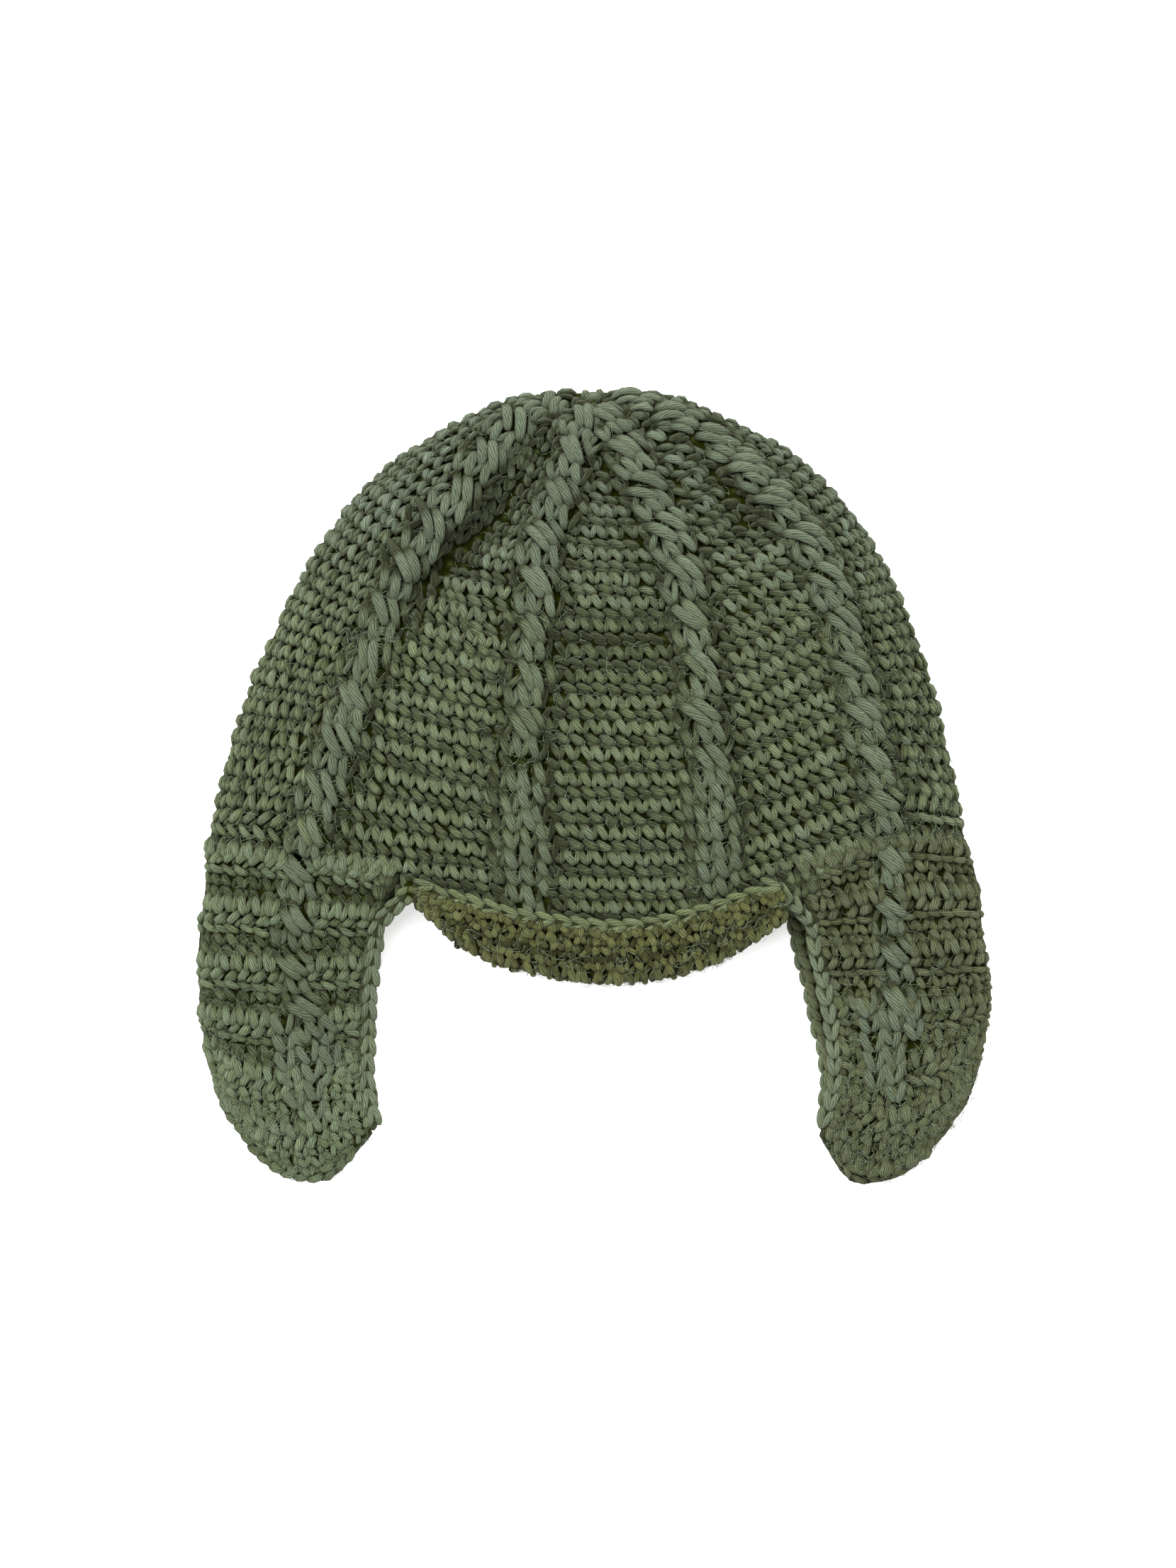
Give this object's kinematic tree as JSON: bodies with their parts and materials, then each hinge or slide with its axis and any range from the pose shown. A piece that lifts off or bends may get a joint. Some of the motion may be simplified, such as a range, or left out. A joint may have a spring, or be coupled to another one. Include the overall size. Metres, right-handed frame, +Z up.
{
  "type": "cable knit earflap cap",
  "caption": "Soft domed cap with raised cables, a turned-up front brim and long rounded earflaps, lying flat on its back with its mouth open.",
  "frame": {"origin": "middle of the cap's box in plan, on the floor that its back lies on", "axes": "+X to the right of the front as seen, +Y from the mouth to the top of the crown, +Z up from the back to the front"},
  "size_m": [0.2641, 0.264, 0.0429],
  "materials": {
    "crown_yarn": "matt olive green worsted wool with a slight fuzz",
    "brim_yarn": "matt olive green worsted wool, wrong side out",
    "flap_yarn": "matt olive green worsted wool in bold ridges",
    "edging_yarn": "matt olive green worsted wool in a chain"
  },
  "bodies": {
    "root": {"crown": "crown_yarn", "front_brim": "brim_yarn", "earflap_left": "flap_yarn", "earflap_right": "flap_yarn", "edging_brim": "edging_yarn", "edging_left": "edging_yarn", "edging_right": "edging_yarn", "edging_back": "edging_yarn"}
  },
  "joints": []
}
